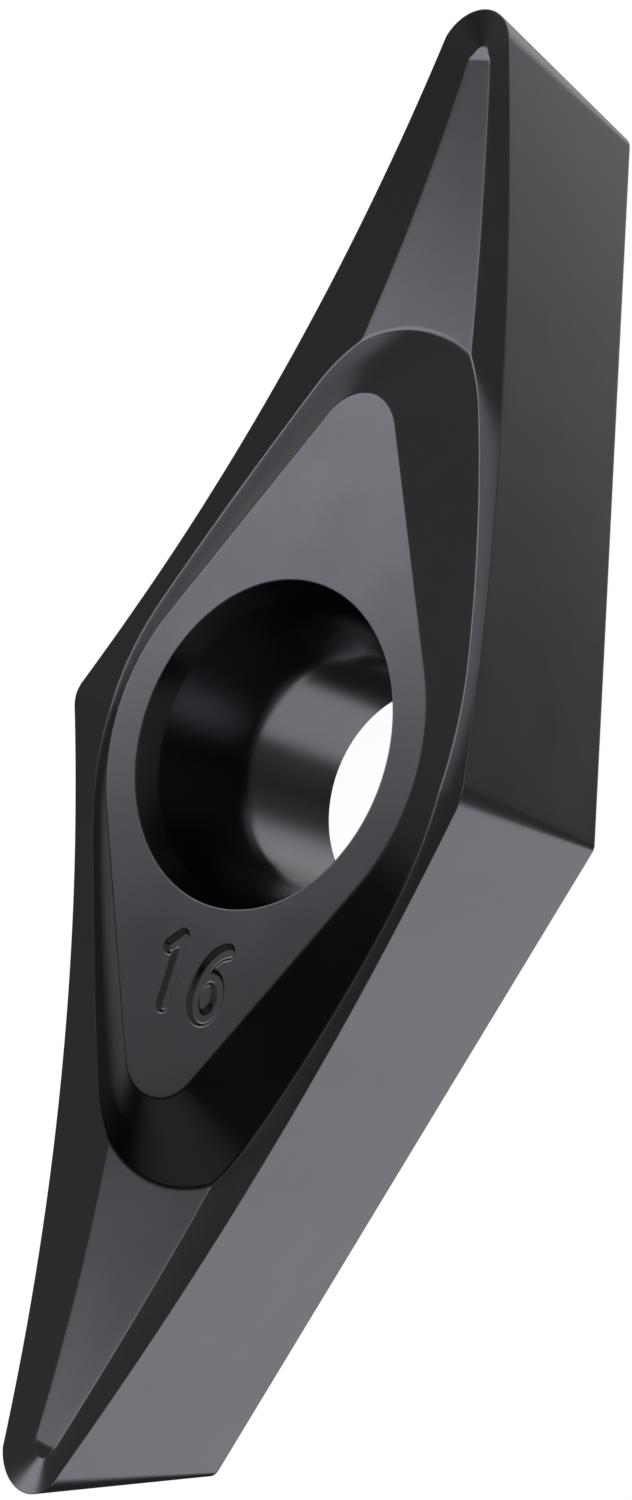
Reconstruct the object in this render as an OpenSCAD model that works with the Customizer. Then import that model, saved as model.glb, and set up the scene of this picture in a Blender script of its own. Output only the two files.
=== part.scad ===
// Indexable turning insert: one pressed and sintered carbide tip, 35 degree rhombic,
// single sided, with a pressed chip former on its rake side.
// The seat face lies on z = 0 round the hole's axis, +X runs along the long diagonal
// and +Z points out of the rake side.

/* [Rhombus] */
// Diameter of the circle that touches all four sides at the height of the cutting corners
inscribed_d = 9.525; // [9.2:0.005:12.7]
// Included angle of each cutting corner
corner_angle = 35; // [33:0.5:38]
// Radius of each rounded cutting corner
nose_r = 0.8; // [0.65:0.05:1]
// Radius of each rounded wide corner, at the height of the cutting corners
wide_r = 0.85; // [0.7:0.05:1.1]
// Height of the cutting corners above the seat face
thickness = 4.76; // [4.2:0.01:5.6]
// Lean of each flank from upright
relief_angle = 7; // [5:0.5:8]

/* [Cutting edge and rake] */
// How far each cutting edge dips between its two corners
edge_dip = 0.54; // [0.35:0.01:0.65]
// Fall of the rake from the cutting edge inwards
rake_angle = 20; // [17:0.5:22]

/* [Raised land] */
// Drop from the cutting corners to the flat land round the hole
land_drop = 0.1; // [0:0.01:0.2]
// Room between the inscribed circle and the land's two wide corners
land_margin = 0.96; // [0.8:0.01:1.1]
// Radius of the land's two narrow ends
land_end_r = 0.97; // [0.7:0.01:1.2]
// Half the angle between the land's sides at its narrow ends
land_half_angle = 30; // [28:0.5:33]
// Slope of the land's side walls down to the rake
land_wall_angle = 27.5; // [25:0.5:32]

/* [Corner ramps] */
// Drop from a cutting corner to the small flat in front of its ramp
flat_drop = 0.23; // [0.2:0.01:0.26]
// How far the ramp's front edge lies behind the centre of the corner's radius
flat_back = 0.08; // [0:0.01:0.2]
// Drop of the ramp's floor from that flat to its lowest line
ramp_fall = 0.75; // [0.6:0.01:0.85]
// Radius of the ramp's hollow floor
ramp_r = 43; // [36:0.5:50]

/* [Screw hole] */
// Diameter of the straight bore for the clamping screw
bore_d = 4.4; // [4:0.05:4.8]
// Diameter of the screw seat where it begins under the mouth
seat_d = 5.7; // [5.4:0.05:5.9]
// Included angle of the screw seat
seat_angle = 40; // [36:1:50]
// Radius that blends the screw seat into the bore
seat_blend_r = 1.2; // [0.6:0.1:2]
// How far the mouth's wider cone opens beyond the screw seat, on the radius
mouth_w = 0.2; // [0.1:0.01:0.3]
// Depth of that cone below the land
mouth_depth = 0.42; // [0.3:0.01:0.6]

/* [Hidden] */

half_angle = corner_angle / 2;
inscribed_r = inscribed_d / 2;
nose_x = (inscribed_r - nose_r) / sin(half_angle);
wide_y = (inscribed_r - wide_r) / cos(half_angle);
edge_len = nose_x * cos(half_angle) + inscribed_r * tan(half_angle);

// The stock is taller than the finished insert, because the chip former cuts its top
over = 1.2;
stock_h = thickness + over;
reach = 2 * nose_x;
// A flat side of the land lies this far inside the rounds that it runs into, so that
// they meet in clean edges
seam = 0.001;
coating = [0.2, 0.19, 0.21];

// The hollow of each rake is a large cylinder, square to its edge and tipped by the rake
hollow_sag = edge_dip * cos(relief_angle + rake_angle) / cos(relief_angle);
hollow_r = (pow(edge_len / 2, 2) + pow(hollow_sag, 2)) / (2 * hollow_sag);

flat_z = thickness - flat_drop;
ramp_low_z = flat_z - ramp_fall;
ramp_low_x = nose_x - flat_back - sqrt(pow(ramp_r, 2) - pow(ramp_r - ramp_fall, 2));

// The land's walls start below every floor round it and are cut off at the land
land_z = thickness - land_drop;
land_r = inscribed_r - land_margin;
land_core_r = land_r - land_end_r;
land_end_x = land_core_r / sin(land_half_angle);
wall_base_z = ramp_low_z - 0.5;
wall_top_z = land_z + 0.3;
wall_h = wall_top_z - wall_base_z;
wall_run = (land_z - wall_base_z) / tan(land_wall_angle);
wall_in = (wall_top_z - land_z) / tan(land_wall_angle);

mouth_z = land_z - mouth_depth;
seat_low_z = mouth_z - (seat_d - bore_d) / 2 / tan(seat_angle / 2);

// Radius at height z of the cone that rounds a corner, for its radius r at the thickness
function round_at(r, z) = r - (thickness - z) * tan(relief_angle);
function nose_at(z) = round_at(nose_r, z);

module both_ends() {
    children();
    mirror([1, 0, 0]) children();
}

module both_sides() {
    children();
    mirror([0, 1, 0]) children();
}

// Puts its children at the centre of one corner's radius, turned so that +Y points
// square out of the flank beside it and +X runs along that flank's cutting edge
module at_corner() {
    translate([nose_x, 0, 0]) rotate([0, 0, -half_angle]) children();
}

// Everything on the inner side of one flank, from its plane inwards
module flank_space() {
    at_corner()
        translate([0, nose_at(0), 0])
        rotate([-relief_angle, 0, 0])
        translate([-reach, -reach, -reach])
        cube([2 * reach, reach, 2 * reach]);
}

// Upright wedge that holds one rounded cutting corner. It opens from the centre of the
// corner's radius to the two lines where the corner's cone meets its flanks.
module corner_wedge() {
    wedge_len = 4 * nose_r;
    translate([nose_x, 0, -1])
        linear_extrude(stock_h + 2)
        polygon([
            [0, 0],
            wedge_len * [sin(half_angle), cos(half_angle)],
            [2 * wedge_len, 0],
            wedge_len * [sin(half_angle), -cos(half_angle)]
        ]);
}

// The like wedge that holds one rounded wide corner
module wide_wedge() {
    wedge_len = 3 * wide_r;
    translate([0, wide_y, -1])
        linear_extrude(stock_h + 2)
        polygon([
            [0, 0],
            wedge_len * [sin(half_angle), cos(half_angle)],
            [0, 2 * wedge_len],
            wedge_len * [-sin(half_angle), cos(half_angle)]
        ]);
}

// Rhombus between the four leaning flanks
module leaning_rhombus() {
    intersection() {
        translate([-reach, -reach, 0]) cube([2 * reach, 2 * reach, stock_h]);
        flank_space();
        mirror([1, 0, 0]) flank_space();
        mirror([0, 1, 0]) flank_space();
        mirror([1, 0, 0]) mirror([0, 1, 0]) flank_space();
    }
}

// Leaning round of one corner, for its radius r at the thickness
module corner_cone(r) {
    cylinder(h = stock_h, r1 = round_at(r, 0), r2 = round_at(r, stock_h), $fn = 96);
}

// The rhombus with its four corners rounded, before its top is formed
module stock() {
    difference() {
        leaning_rhombus();
        both_ends() corner_wedge();
        both_sides() wide_wedge();
    }
    both_ends() intersection() {
        corner_wedge();
        translate([nose_x, 0, 0]) corner_cone(nose_r);
    }
    both_sides() intersection() {
        wide_wedge();
        translate([0, wide_y, 0]) corner_cone(wide_r);
    }
}

// Space above the hollow rake of one cutting edge
module rake_hollow() {
    low_z = thickness - edge_dip;
    at_corner()
        translate([-edge_len / 2, nose_at(low_z), low_z])
        rotate([rake_angle, 0, 0])
        translate([0, 0, hollow_r])
        rotate([90, 0, 0])
        cylinder(h = 4 * inscribed_r, r = hollow_r, center = true, $fn = 720);
}

// Two opposite halves whose tops fall from their edges towards the long diagonal
module rakes() {
    both_sides() difference() {
        translate([-reach, 0, 0]) cube([2 * reach, reach, stock_h]);
        both_ends() rake_hollow();
        both_ends() corner_wedge();
    }
}

// Cupped rake inside one rounded corner
module corner_rake() {
    low_z = thickness - nose_r * tan(rake_angle);
    cup_h = 2 * over;
    difference() {
        corner_wedge();
        translate([nose_x, 0, low_z])
            cylinder(h = cup_h, r1 = 0, r2 = cup_h / tan(rake_angle), $fn = 96);
    }
}

// One sloping side of the land, as a strip that overlaps the land's core
module land_side() {
    inner_r = 0.8 * land_core_r;
    rotate([90, 0, 90 - land_half_angle])
        linear_extrude(land_end_x * cos(land_half_angle))
        polygon([
            [inner_r, 0],
            [land_r - seam + wall_run, 0],
            [land_r - 2 * seam - wall_in, wall_h],
            [inner_r, wall_h]
        ]);
}

// One round of the land's walls, for its radius at the land
module land_round(top_r) {
    cylinder(h = wall_h, r1 = top_r + wall_run, r2 = top_r - wall_in, $fn = 180);
}

// Flat land round the hole, with walls that spread downwards
module land() {
    core_y = land_end_x * tan(land_half_angle);
    intersection() {
        translate([-reach, -reach, 0]) cube([2 * reach, 2 * reach, land_z]);
        translate([0, 0, wall_base_z]) {
            linear_extrude(wall_h)
                polygon([[land_end_x, 0], [0, core_y], [-land_end_x, 0], [0, -core_y]]);
            land_round(land_r);
            both_ends() translate([land_end_x, 0, 0]) land_round(land_end_r);
            both_ends() both_sides() land_side();
        }
    }
}

// Hollow floors that fall from the two cutting corners in towards the land
module ramps() {
    out_x = nose_x + 2 * nose_r;
    rotate([90, 0, 0])
        linear_extrude(4 * inscribed_r, center = true)
        difference() {
            translate([-out_x, 0]) square([2 * out_x, flat_z]);
            translate([-ramp_low_x, ramp_low_z]) square([2 * ramp_low_x, ramp_fall + 1]);
            both_ends() translate([ramp_low_x, ramp_low_z + ramp_r])
                circle(r = ramp_r, $fn = 720);
        }
}

// Bore, screw seat with its rounded lower edge, and mouth, turned as one
module screw_hole() {
    bore_r = bore_d / 2;
    seat_r = seat_d / 2;
    half_seat = seat_angle / 2;
    blend_len = seat_blend_r * tan(half_seat / 2);
    blend_z = seat_low_z - blend_len;
    past = 1;
    rotate_extrude($fn = 180) {
        polygon([
            [0, -past],
            [bore_r, -past],
            [bore_r, seat_low_z],
            [seat_r, mouth_z],
            [seat_r + mouth_w, land_z],
            [seat_r + mouth_w * (1 + past / mouth_depth), land_z + past],
            [0, land_z + past]
        ]);
        difference() {
            polygon([
                [bore_r, blend_z],
                [bore_r, seat_low_z],
                [bore_r + blend_len * sin(half_seat), seat_low_z + blend_len * cos(half_seat)],
                [bore_r + seat_blend_r, blend_z]
            ]);
            translate([bore_r + seat_blend_r, blend_z])
                circle(r = seat_blend_r, $fn = 180);
        }
    }
}

// The stock under its formed top, with the hole through it
module insert() {
    color(coating)
        difference() {
            intersection() {
                stock();
                union() {
                    rakes();
                    both_ends() corner_rake();
                    land();
                    ramps();
                }
            }
            screw_hole();
        }
}

insert();
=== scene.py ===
import math

import bmesh
import bpy
from mathutils import Matrix, Vector


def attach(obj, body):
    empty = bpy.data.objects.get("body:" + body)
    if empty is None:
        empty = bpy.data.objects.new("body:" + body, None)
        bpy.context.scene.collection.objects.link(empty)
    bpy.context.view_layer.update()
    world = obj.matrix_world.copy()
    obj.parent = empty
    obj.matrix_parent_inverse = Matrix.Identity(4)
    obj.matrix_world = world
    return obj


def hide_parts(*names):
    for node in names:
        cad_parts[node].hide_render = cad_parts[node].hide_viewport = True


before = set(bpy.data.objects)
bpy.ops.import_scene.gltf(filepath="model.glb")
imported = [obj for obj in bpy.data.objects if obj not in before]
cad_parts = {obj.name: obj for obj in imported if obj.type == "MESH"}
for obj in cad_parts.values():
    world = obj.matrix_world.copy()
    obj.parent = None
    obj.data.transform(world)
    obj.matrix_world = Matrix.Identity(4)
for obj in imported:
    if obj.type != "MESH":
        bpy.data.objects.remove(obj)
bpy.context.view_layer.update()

scene = bpy.context.scene
MM = 0.001


# Camera at the photograph's viewing angle
def make_camera():
    turn = Vector((1.9733, -1.4762, -0.5280))
    origin_seen_at = Vector((1.9573, 0.9648, 58.1244))
    focal_px, long_side_px, sensor_mm = 3039.65, 1500.0, 36.0
    to_camera = Matrix.Rotation(turn.length, 3, turn.normalized())
    place = -(to_camera.transposed() @ origin_seen_at) * MM
    back = to_camera.transposed() @ Matrix.Diagonal((1, -1, -1))
    data = bpy.data.cameras.new("camera")
    data.sensor_width = sensor_mm
    data.lens = focal_px * sensor_mm / long_side_px
    data.clip_start, data.clip_end = 0.002, 5.0
    camera = bpy.data.objects.new("camera", data)
    camera.matrix_world = Matrix.Translation(place) @ back.to_4x4()
    scene.collection.objects.link(camera)
    scene.camera = camera


make_camera()

# Sizes of the insert, in mm
inscribed_r, nose_r, wide_r, thickness = 4.7625, 0.8, 0.85, 4.76
half_angle, relief, rake = math.radians(17.5), math.radians(7), math.radians(20)
edge_dip = 0.54
land_z, land_r, land_end_r = 4.66, 3.8025, 0.97
land_half, land_wall = math.radians(30), math.radians(27.5)
flat_z, flat_back, ramp_fall, ramp_r = 4.53, 0.08, 0.75, 43.0
bore_r, seat_r, mouth_r, mouth_z = 2.2, 2.85, 3.05, 4.24
seat_low_z = mouth_z - (seat_r - bore_r) / math.tan(math.radians(20))

# Small rounds that catch the light, in mm along each face from the sharp corner
bore_round, face_round, cutting_round = 0.03, 0.04, 0.02
land_fillet, land_round, rim_round, mouth_round = 0.055, 0.03, 0.012, 0.02
seat_blend = 0.212
crease_soft = 0.005
# no round takes more than this share of a face
most_of_face = 0.42

# Rows across the floor between the land's foot and the cutting edge, in mm from the foot,
# from the edge, round each crease, from the crease to the ramp's front, and between rows
foot_gap, edge_gap, crease_gap, front_gap, row_gap = 0.065, 0.04, 0.12, 0.1, 0.03
guard_gap = 0.02
INNER_ROWS, OUTER_ROWS = 12, 9

# Columns of one quarter of the insert. The land's outline has them round its wide corner,
# along its side and round its end. The cutting edge has them round the wide corner, along
# its straight run and round the nose.
ROUND_SHARES = (0, .03, .06, .09, .12, .16, .22, .3, .4, .5, .6, .7, .8, .9)
SIDE_COLUMNS, END_COLUMNS = 34, 72
WIDE_COLUMNS, NOSE_COLUMNS = 6, 32
COLUMNS = len(ROUND_SHARES) + SIDE_COLUMNS + END_COLUMNS
END = COLUMNS - END_COLUMNS
HALVINGS = 40

sin_h, cos_h = math.sin(half_angle), math.cos(half_angle)
nose_x = (inscribed_r - nose_r) / sin_h
wide_y = (inscribed_r - wide_r) / cos_h
edge_len = nose_x * cos_h + inscribed_r * math.tan(half_angle)
hollow_sag = edge_dip * math.cos(relief + rake) / math.cos(relief)
hollow_r = ((edge_len / 2) ** 2 + hollow_sag ** 2) / (2 * hollow_sag)
hollow_mid = edge_len / 2 - inscribed_r * math.tan(half_angle)
hollow_z = thickness - edge_dip
hollow_out = inscribed_r - edge_dip * math.tan(relief)
ramp_front = nose_x - flat_back
ramp_low_x = ramp_front - math.sqrt(ramp_r ** 2 - (ramp_r - ramp_fall) ** 2)
land_end_x = (land_r - land_end_r) / math.sin(land_half)


def sag(u):
    """Rise of the hollow rake's cylinder above its lowest line, u along the edge."""
    return hollow_r - math.sqrt(hollow_r ** 2 - (u - hollow_mid) ** 2)


def flank_at(z):
    """Distance of a leaning flank from the hole's axis at height z."""
    return inscribed_r - (thickness - z) * math.tan(relief)


def rake_height(x, y):
    """Height of the hollow rake, or of the cup inside a rounded corner."""
    if x > nose_x and math.atan2(y, x - nose_x) <= math.pi / 2 - half_angle:
        return thickness - (nose_r - math.hypot(x - nose_x, y)) * math.tan(rake)
    u, v = x * cos_h - y * sin_h, x * sin_h + y * cos_h
    return hollow_z + (v - hollow_out) * math.tan(rake) + sag(u) / math.cos(rake)


def ramp_height(x):
    """Height of the hollow ramp, or of the small flat in front of it."""
    run = max(x - ramp_low_x, 0.0)
    if run >= ramp_front - ramp_low_x:
        return flat_z
    return flat_z - ramp_fall + ramp_r - math.sqrt(ramp_r ** 2 - run ** 2)


def floor_height(x, y):
    """The higher of the rake and the ramp, with a soft line between them."""
    a, b = rake_height(x, y), ramp_height(x)
    return (a + b + math.sqrt((a - b) ** 2 + crease_soft ** 2)) / 2


# Guide lines of one quarter of the insert
def edge_point(u):
    """A point of the straight cutting edge, u along it from the foot of the hole's axis."""
    z = hollow_z + sag(u) / (math.cos(rake) * (1 - math.tan(relief) * math.tan(rake)))
    v = flank_at(z)
    return (u * cos_h + v * sin_h, -u * sin_h + v * cos_h, z)


def wide_point(turn):
    """A point of the cutting edge round the wide corner, turned from its middle."""
    z = hollow_z
    for _ in range(20):
        r = wide_r - (thickness - z) * math.tan(relief)
        x, y = r * math.sin(turn), wide_y + r * math.cos(turn)
        z = rake_height(x, y)
    return (x, y, z)


def land_guides():
    """Points of the land's outline with their outward directions."""
    out = []
    turn = math.pi / 2 - land_half
    for share in ROUND_SHARES:
        a = math.pi / 2 - land_half * share
        out.append((land_r * math.cos(a), land_r * math.sin(a), a))
    start = (land_r * math.cos(turn), land_r * math.sin(turn))
    end = (land_end_x + land_end_r * math.cos(turn), land_end_r * math.sin(turn))
    for i in range(SIDE_COLUMNS):
        t = i / SIDE_COLUMNS
        out.append((start[0] + (end[0] - start[0]) * t, start[1] + (end[1] - start[1]) * t, turn))
    for i in range(END_COLUMNS + 1):
        a = turn * (1 - i / END_COLUMNS)
        out.append((land_end_x + land_end_r * math.cos(a), land_end_r * math.sin(a), a))
    return out


def edge_guides():
    """The cutting edge's points, one for each of the land's."""
    out = [wide_point(half_angle * i / WIDE_COLUMNS) for i in range(WIDE_COLUMNS + 1)]
    # the land's side faces this share of the edge's straight run, and its end the rest
    side_share = 0.635
    first, last = -wide_y * sin_h, nose_x * cos_h
    middle = first + (last - first) * side_share
    side, end = END - WIDE_COLUMNS, END_COLUMNS - NOSE_COLUMNS
    out += [edge_point(first + (middle - first) * i / side) for i in range(1, side + 1)]
    out += [edge_point(middle + (last - middle) * i / end) for i in range(1, end + 1)]
    for i in range(1, NOSE_COLUMNS + 1):
        a = (math.pi / 2 - half_angle) * (1 - i / NOSE_COLUMNS)
        out.append((nose_x + nose_r * math.cos(a), nose_r * math.sin(a), thickness))
    return out


LAND = land_guides()
EDGE = edge_guides()


def foot_point(i):
    """Where the land's wall meets the floor, below the land's point i."""
    x, y, a = LAND[i]
    low, high = 0.0, 2.4
    for _ in range(HALVINGS):
        mid = (low + high) / 2
        px, py = x + mid * math.cos(a), max(y + mid * math.sin(a), 0.0)
        if land_z - mid * math.tan(land_wall) > max(rake_height(px, py), ramp_height(px)):
            low = mid
        else:
            high = mid
    return (x + low * math.cos(a), max(y + low * math.sin(a), 0.0))


def bottom_point(i):
    """The seat face's outline, straight below the cutting edge on the flank."""
    x, y, z = EDGE[i]
    if i < WIDE_COLUMNS:
        turn, r = half_angle * i / WIDE_COLUMNS, wide_r - thickness * math.tan(relief)
        return (r * math.sin(turn), wide_y + r * math.cos(turn))
    if i <= COLUMNS - NOSE_COLUMNS:
        u, v = x * cos_h - y * sin_h, flank_at(0)
        return (u * cos_h + v * sin_h, -u * sin_h + v * cos_h)
    turn, drop = math.atan2(y, x - nose_x), z * math.tan(relief)
    return (x - drop * math.cos(turn), y - drop * math.sin(turn))


feet = [foot_point(i) for i in range(COLUMNS + 1)]
# the first column whose wall runs down to a ramp, not to a rake
RAMP_FROM = next(i for i, (x, y) in enumerate(feet) if ramp_height(x) > rake_height(x, y))


# Section of the insert in each column
def bend(before, corner, after, steps):
    """A small round between two straight runs."""
    out = []
    for k in range(steps + 1):
        t = k / steps
        out.append((before * (1 - t) ** 2) + corner * (2 * t * (1 - t)) + (after * t ** 2))
    return out


def toward(a, b, distance):
    """The point at this distance from a on the way to b, well short of the middle."""
    d = b - a
    return a + d * min(distance / d.length, most_of_face)


def rounded(before, corner, after, size, steps=3):
    """The corner between two other points, with a round of this size."""
    return bend(toward(corner, before, size), corner, toward(corner, after, size), steps)


def straight(a, b, count, first, last):
    """Points strictly between a and b, clear of the rounds at both ends."""
    n = (b - a).length
    f, g = min(first / n, most_of_face), min(last / n, most_of_face)
    guard = min(guard_gap / n, (1 - f - g) / 5)
    shares = [f + guard + (1 - f - g - 2 * guard) * (k / (count - 1)) for k in range(count)]
    return [a.lerp(b, share) for share in shares]


def crease_share(foot, edge):
    """Where the soft line between rake and ramp crosses a column, as a share of its floor."""
    low, high = 0.0, 1.0
    for _ in range(HALVINGS):
        mid = (low + high) / 2
        p = foot.lerp(edge, mid)
        if rake_height(p.x, p.y) < ramp_height(p.x):
            low = mid
        else:
            high = mid
    return low


def floor_shares(i, foot, edge):
    """Shares of the way from the land's foot to the cutting edge, close at each crease."""
    run = (edge - foot).length
    start, stop = min(foot_gap / run, 0.1), 1 - min(edge_gap / run, 0.1)
    cross = crease_share(foot, edge)
    gap, row = crease_gap / run, row_gap / run
    if cross < start + gap:
        eased = min(0.5, gap + 0.03 * max(0, RAMP_FROM - i))
        cross = start + max(gap, eased * (1 - start))

    # the ramp's front line, or a row in its place where the column doesn't cross it
    front = cross - front_gap / run
    if i > END:
        front = min((ramp_front - foot.x) / max(edge.x - foot.x, 1e-6), front)
    front = max(front, start + 0.01 / run)

    guard = start + min(guard_gap / run, (front - start) / 20)
    near = min(row, (front - start) / 14, (cross - front) / 3)
    before, after = max(cross - row, front + near * 1.3), cross + row
    shares = [start]
    shares += [guard + (front - guard) * (k / INNER_ROWS) for k in range(INNER_ROWS)]
    shares += [front - near, front, front + near]
    shares += [before, (before + cross) / 2, cross, (cross + after) / 2, after]
    shares += [after + (stop - after) * (k / OUTER_ROWS) for k in range(1, OUTER_ROWS + 1)]
    return shares


def hole_direction(i):
    """Unit vector from the hole's axis to the hole's wall in column i."""
    x, y, _ = LAND[min(i, END)]
    turn = math.atan2(y, x)
    if i > END:
        turn *= 1 - (i - END) / END_COLUMNS
    return Vector((math.cos(turn), math.sin(turn), 0))


def profile(i):
    """One closed loop over the insert in column i: seat face, flank, rake, land and hole."""
    edge, land = Vector(EDGE[i]), Vector((LAND[i][0], LAND[i][1], land_z))
    foot, low = Vector((*feet[i], 0)), Vector((*bottom_point(i), 0))
    plan_foot, plan_edge = foot.copy(), Vector((edge.x, edge.y, 0))
    foot.z = land_z - math.hypot(foot.x - land.x, foot.y - land.y) * math.tan(land_wall)
    run = (plan_edge - plan_foot).length
    shares = floor_shares(i, plan_foot, plan_edge)

    def on_floor(t):
        p = plan_foot.lerp(plan_edge, t)
        return Vector((p.x, p.y, floor_height(p.x, p.y)))

    out, up = hole_direction(i), Vector((0, 0, 1))
    rim, mouth = out * mouth_r + up * land_z, out * seat_r + up * mouth_z
    seat_end, bore_end = out * bore_r + up * seat_low_z, out * bore_r

    p = rounded(seat_end, bore_end, low, bore_round)
    p += straight(bore_end, low, 8, bore_round, face_round)
    p += rounded(bore_end, low, edge, face_round)
    p += straight(low, edge, 10, face_round, cutting_round)
    edge_in = on_floor(1 - min(cutting_round / run, 0.05))
    p += bend(toward(edge, low, cutting_round), edge, edge_in, 4)
    p += [on_floor(t) for t in reversed(shares)]
    p += bend(on_floor(shares[0] * 0.94), foot, toward(foot, land, land_fillet), 7)
    p += straight(foot, land, 7, land_fillet, land_round)
    p += rounded(foot, land, rim, land_round)
    p += straight(land, rim, 6, land_round, rim_round)
    p += rounded(land, rim, mouth, rim_round)
    p += straight(rim, mouth, 3, rim_round, mouth_round)
    p += rounded(rim, mouth, seat_end, mouth_round)
    p += straight(mouth, seat_end, 9, mouth_round, seat_blend)
    p += rounded(mouth, seat_end, bore_end, seat_blend, steps=7)
    p += straight(seat_end, bore_end, 7, seat_blend, bore_round)
    return p


def insert_mesh():
    """A grid laid over one quarter of the insert and mirrored twice."""
    loops = [profile(i) for i in range(COLUMNS + 1)]
    rows = len(loops[0])
    bm = bmesh.new()
    bmesh.ops.create_grid(bm, x_segments=COLUMNS, y_segments=rows, size=1.0)
    for v in bm.verts:
        i = round((v.co.x + 1) / 2 * COLUMNS)
        j = round((v.co.y + 1) / 2 * rows) % rows
        v.co = loops[i][j] * MM
    bmesh.ops.remove_doubles(bm, verts=bm.verts, dist=1e-9)
    on_middle = 2e-7
    for v in bm.verts:
        if abs(v.co.y) < on_middle:
            v.co.y = 0.0
        if abs(v.co.x) < on_middle:
            v.co.x = 0.0
    for axis in "XY":
        bmesh.ops.mirror(bm, geom=bm.verts[:] + bm.edges[:] + bm.faces[:], matrix=Matrix(),
                         merge_dist=on_middle, axis=axis)
    bmesh.ops.recalc_face_normals(bm, faces=bm.faces)
    press_number(bm)
    return bm


# Size number pressed into the land
digit_top, digit_low = -3.615, -5.125
digit_half_h = (digit_top - digit_low) / 2
digit_mid_x = (digit_top + digit_low) / 2
stroke_half, stroke_depth, stroke_wall = 0.115, 0.07, 0.075
plate_low, plate_high = Vector((-5.33, -1.12, land_z)), Vector((-3.42, 0.98, land_z))
plate_cells_x, plate_cells_y, plate_gap = 96, 106, 0.02


def bow(centre, radii, first, last, count=40):
    """Points along a part of an ellipse, its angles in degrees."""
    turns = [math.radians(first + (last - first) * k / count) for k in range(count + 1)]
    return [(centre[0] + radii[0] * math.cos(a), centre[1] + radii[1] * math.sin(a)) for a in turns]


def digit_strokes():
    """Centre lines of the digits 1 and 6, each drawn across and up from its middle."""
    top = digit_half_h - stroke_half
    one = [(-0.2, top - 0.24), (0.05, top), (0.05, -top)]
    bowl_h, bowl_w, neck_w = 0.38, 0.28, 0.3
    bowl_mid = bowl_h - top
    bowl = bow((0, bowl_mid), (bowl_w, bowl_h), 0, 360)
    neck = bow((neck_w, bowl_mid), (neck_w + bowl_w, top - bowl_mid), 180, 98)
    lines = []
    for across, strokes in ((0.42, [one]), (-0.6, [bowl, neck])):
        for stroke in strokes:
            lines.append([(digit_mid_x + v, across - u) for u, v in stroke])
    return lines


def off_stroke(x, y, lines):
    """Distance from the nearest centre line."""
    best = 9.0
    for line in lines:
        for (ax, ay), (bx, by) in zip(line, line[1:]):
            dx, dy = bx - ax, by - ay
            t = ((x - ax) * dx + (y - ay) * dy) / max(dx * dx + dy * dy, 1e-12)
            t = min(max(t, 0.0), 1.0)
            best = min(best, math.hypot(x - ax - t * dx, y - ay - t * dy))
    return best


def on_land(face):
    """Whether a face lies flat on the land, at the plate or close round it."""
    margin = Vector((0.9, 0.9, 0))
    low, high = plate_low - margin, plate_high + margin
    inside = all(low.x < v.co.x / MM < high.x and low.y < v.co.y / MM < high.y for v in face.verts)
    return inside and all(abs(v.co.z - land_z * MM) < 1e-9 for v in face.verts)


def once_each(items):
    """The items in their first order, without repeats, so that each run is the same."""
    return list(dict.fromkeys(items))


def press_number(bm):
    """Cuts a plate out of the land and puts in a fine one with the digits sunk into it."""
    ways = ((-1, 0, 0), (0, -1, 0), (1, 0, 0), (0, 1, 0))
    for corner, way in zip((plate_low, plate_low, plate_high, plate_high), ways):
        faces = [f for f in bm.faces if on_land(f)]
        edges = once_each(e for f in faces for e in f.edges)
        verts = once_each(v for f in faces for v in f.verts)
        bmesh.ops.bisect_plane(bm, geom=[*verts, *edges, *faces], dist=1e-8,
                               plane_co=corner * MM, plane_no=way)
    gone = []
    for f in bm.faces:
        c = f.calc_center_median() / MM
        inside = plate_low.x < c.x < plate_high.x and plate_low.y < c.y < plate_high.y
        if inside and abs(c.z - land_z) < 1e-5:
            gone.append(f)
    bmesh.ops.delete(bm, geom=gone, context="FACES")
    rim_edges = [e for e in bm.edges if e.is_boundary]

    size, middle = plate_high - plate_low, (plate_high + plate_low) / 2
    stretched = Matrix.Diagonal(((size.x - plate_gap) * MM, (size.y - plate_gap) * MM, 1, 1))
    placed = Matrix.Translation(middle * MM) @ stretched
    plate = bmesh.ops.create_grid(bm, x_segments=plate_cells_x, y_segments=plate_cells_y,
                                  size=0.5, matrix=placed)["verts"]
    plate_edges = [e for e in once_each(e for v in plate for e in v.link_edges) if e.is_boundary]
    lines = digit_strokes()
    for v in plate:
        reach = off_stroke(v.co.x / MM, v.co.y / MM, lines)
        t = min(max((stroke_half + stroke_wall / 2 - reach) / stroke_wall, 0.0), 1.0)
        v.co.z -= stroke_depth * MM * t * t * (3 - 2 * t)
    bmesh.ops.triangle_fill(bm, edges=rim_edges + plate_edges, use_beauty=True, normal=(0, 0, 1))
    bmesh.ops.recalc_face_normals(bm, faces=bm.faces)


def piece(name, bm, material):
    """An object at the origin, made from a bmesh in metres."""
    mesh = bpy.data.meshes.new(name)
    bm.to_mesh(mesh)
    bm.free()
    mesh.materials.append(material)
    mesh.shade_smooth()
    obj = bpy.data.objects.new(name, mesh)
    scene.collection.objects.link(obj)
    return obj


# Nodes and materials
def node(tree, kind, **values):
    """A new node with its named inputs or settings filled in."""
    n = tree.nodes.new(kind)
    for name, value in values.items():
        if name in n.inputs:
            n.inputs[name].default_value = value
        else:
            setattr(n, name, value)
    return n


def ramp_of(tree, value, stops):
    """A colour ramp of greys or colours, given as (place, level), read at a value."""
    ramp = node(tree, "ShaderNodeValToRGB")
    elements = ramp.color_ramp.elements
    while len(elements) < len(stops):
        elements.new(0.5)
    for element, (place, level) in zip(elements, stops):
        element.position = place
        element.color = (*level, 1) if isinstance(level, tuple) else (level, level, level, 1)
    tree.links.new(value, ramp.inputs["Fac"])
    return ramp.outputs["Color"]


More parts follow.
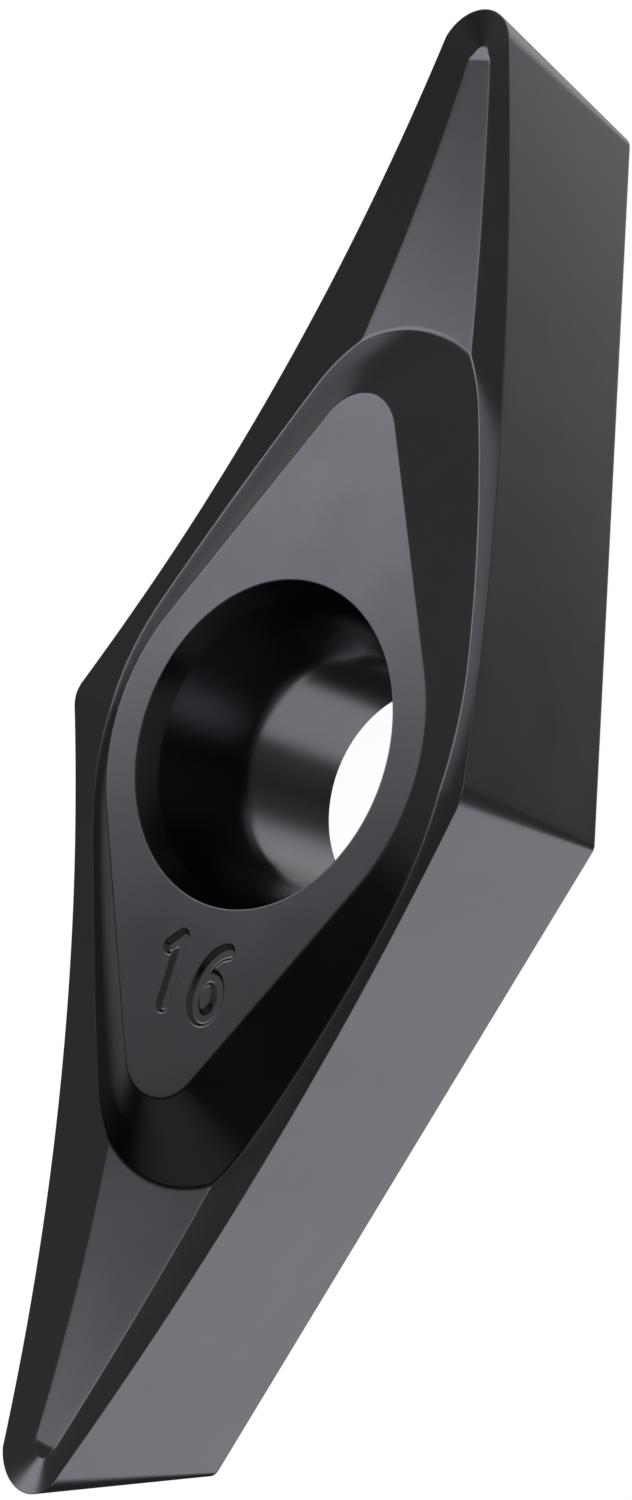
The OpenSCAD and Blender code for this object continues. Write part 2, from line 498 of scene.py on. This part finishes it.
def cloud(tree, place, scale, detail=2.0):
    """Soft noise at a number of waves for each metre."""
    noise = node(tree, "ShaderNodeTexNoise", Scale=scale, Detail=detail)
    tree.links.new(place, noise.inputs["Vector"])
    return noise.outputs["Fac"]


def stretch(tree, value, start, stop, low, high):
    """The range from start to stop, mapped onto the one from low to high."""
    reach = node(tree, "ShaderNodeMapRange")
    tree.links.new(value, reach.inputs["Value"])
    ends = (("From Min", start), ("From Max", stop), ("To Min", low), ("To Max", high))
    for name, number in ends:
        reach.inputs[name].default_value = number
    return reach.outputs["Result"]


def coating_material():
    """Dark violet grey hard coating over ground and pressed carbide, satin and a little uneven."""
    m = bpy.data.materials.new("graphite coating")
    m.use_nodes = True
    t = m.node_tree
    l = t.links
    s = t.nodes["Principled BSDF"]
    s.inputs["Metallic"].default_value = 1.0
    place = node(t, "ShaderNodeTexCoord").outputs["Object"]

    # broad drift of the coating's colour, with finer mottle in it
    both = node(t, "ShaderNodeMix", data_type="FLOAT")
    both.inputs["Factor"].default_value = 0.35
    l.new(cloud(t, place, 240), both.inputs["A"])
    l.new(cloud(t, place, 1500, 4.0), both.inputs["B"])
    tones = [(0.3, (0.173, 0.165, 0.187)), (0.5, (0.179, 0.171, 0.192)), (0.7, (0.185, 0.177, 0.197))]
    l.new(ramp_of(t, both.outputs["Result"], tones), s.inputs["Base Color"])

    # the gloss changes a little from place to place
    l.new(stretch(t, cloud(t, place, 620, 3.0), 0.3, 0.7, 0.2, 0.25), s.inputs["Roughness"])

    # fine grain of the sintered surface under the coating
    grain = node(t, "ShaderNodeBump", Strength=0.5, Distance=4e-7)
    l.new(cloud(t, place, 11000), grain.inputs["Height"])
    l.new(grain.outputs["Normal"], s.inputs["Normal"])
    return m


insert = piece("coated_insert", insert_mesh(), coating_material())
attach(insert, "root")
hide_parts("insert")

# Floor, lamps and surroundings. A level of 1 is white.
floor_half, floor_glow, floor_grey = 1.5, 0.95, (0.8, 0.8, 0.8, 1)
lamp_distance = 2.0
# greys of the walls above the insert, from the -X side at 0 to the +X side at 1
wall_levels = [(0.1, 0.1), (0.18, 0.09), (0.23, 0.01), (0.32, 0.01), (0.4, 0.11), (0.5, 0.125),
               (0.7, 0.145)]
# greys of the panels below the insert, by the direction round it in degrees from +X
panel_levels = [(-180, 0.05), (-172, 0.15), (-165, 0.92), (-108, 0.92), (-97, 0.15), (-80, 0.11),
                (-60, 0.07), (-48, 0.1), (-34, 0.12), (-27, 0.22), (-20, 0.43), (-14, 0.68),
                (-5, 0.88), (15, 0.88), (30, 0.65), (50, 0.35), (110, 0.2), (130, 0.03), (170, 0.03)]


def white_floor():
    """A pale floor that only the camera sees, from above. Little shadow shows on it."""
    bm = bmesh.new()
    bmesh.ops.create_grid(bm, x_segments=1, y_segments=1, size=floor_half)
    m = bpy.data.materials.new("white floor")
    m.use_nodes = True
    t = m.node_tree
    l = t.links
    t.nodes.remove(t.nodes["Principled BSDF"])
    glow = node(t, "ShaderNodeEmission", Strength=floor_glow)
    matt = node(t, "ShaderNodeBsdfDiffuse", Color=floor_grey)
    both = node(t, "ShaderNodeAddShader")
    l.new(glow.outputs[0], both.inputs[0])
    l.new(matt.outputs[0], both.inputs[1])
    clear = node(t, "ShaderNodeBsdfTransparent")
    path = node(t, "ShaderNodeLightPath")
    side = node(t, "ShaderNodeNewGeometry")
    from_above = node(t, "ShaderNodeMath", operation="SUBTRACT", use_clamp=True)
    l.new(path.outputs["Is Camera Ray"], from_above.inputs[0])
    l.new(side.outputs["Backfacing"], from_above.inputs[1])
    pick = node(t, "ShaderNodeMixShader")
    l.new(from_above.outputs[0], pick.inputs[0])
    l.new(clear.outputs[0], pick.inputs[1])
    l.new(both.outputs[0], pick.inputs[2])
    l.new(pick.outputs[0], t.nodes["Material Output"].inputs["Surface"])
    piece("floor", bm, m)


def softbox(name, azimuth, elevation, half_width, half_height, level, roll=0):
    """A far area lamp facing the insert, its place, size and roll in degrees."""
    a, e = math.radians(azimuth), math.radians(elevation)
    away = Vector((math.cos(a) * math.cos(e), math.sin(a) * math.cos(e), math.sin(e)))
    data = bpy.data.lights.new(name, "AREA")
    data.shape = "RECTANGLE"
    data.size = 2 * lamp_distance * math.tan(math.radians(half_width))
    data.size_y = 2 * lamp_distance * math.tan(math.radians(half_height))
    data.energy = level * math.pi * data.size * data.size_y
    lamp = bpy.data.objects.new(name, data)
    facing = away.to_track_quat("Z", "Y").to_matrix().to_4x4()
    turn = Matrix.Rotation(math.radians(roll), 4, "Z")
    lamp.matrix_world = Matrix.Translation(away * lamp_distance) @ facing @ turn
    scene.collection.objects.link(lamp)


def surroundings():
    """White to the camera. The coating mirrors dim walls above it and panels below it."""
    world = bpy.data.worlds.new("world")
    scene.world = world
    world.use_nodes = True
    t = world.node_tree
    l = t.links
    way = node(t, "ShaderNodeSeparateXYZ")
    l.new(node(t, "ShaderNodeTexCoord").outputs["Generated"], way.inputs[0])

    # the walls are dimmer near the floor
    walls = ramp_of(t, stretch(t, way.outputs["X"], -1, 1, 0, 1), wall_levels)
    dimmed = node(t, "ShaderNodeVectorMath", operation="SCALE")
    l.new(walls, dimmed.inputs[0])
    l.new(stretch(t, way.outputs["Z"], 0.15, 0.45, 0.6, 1.0), dimmed.inputs["Scale"])

    turn = node(t, "ShaderNodeMath", operation="ARCTAN2")
    l.new(way.outputs["Y"], turn.inputs[0])
    l.new(way.outputs["X"], turn.inputs[1])
    stops = [(degrees / 360 + 0.5, level) for degrees, level in panel_levels]
    panels = ramp_of(t, stretch(t, turn.outputs[0], -math.pi, math.pi, 0, 1), stops)

    above = node(t, "ShaderNodeMath", operation="GREATER_THAN")
    l.new(way.outputs["Z"], above.inputs[0])
    above.inputs[1].default_value = 0.0
    mirrored = node(t, "ShaderNodeMix", data_type="RGBA")
    l.new(above.outputs[0], mirrored.inputs["Factor"])
    l.new(panels, mirrored.inputs[6])
    l.new(dimmed.outputs[0], mirrored.inputs[7])
    back = t.nodes["Background"]
    l.new(mirrored.outputs[2], back.inputs["Color"])
    seen = node(t, "ShaderNodeBackground", Color=(1, 1, 1, 1), Strength=1.0)
    pick = node(t, "ShaderNodeMixShader")
    l.new(node(t, "ShaderNodeLightPath").outputs["Is Camera Ray"], pick.inputs[0])
    l.new(back.outputs[0], pick.inputs[1])
    l.new(seen.outputs[0], pick.inputs[2])
    l.new(pick.outputs[0], t.nodes["World Output"].inputs["Surface"])


white_floor()
softbox("large lamp", 68.7, 37.2, 15, 14, 1.16, roll=42)
softbox("side lamp", 94, 46, 5.5, 10.9, 0.08)
surroundings()

scene.view_settings.view_transform = "Standard"
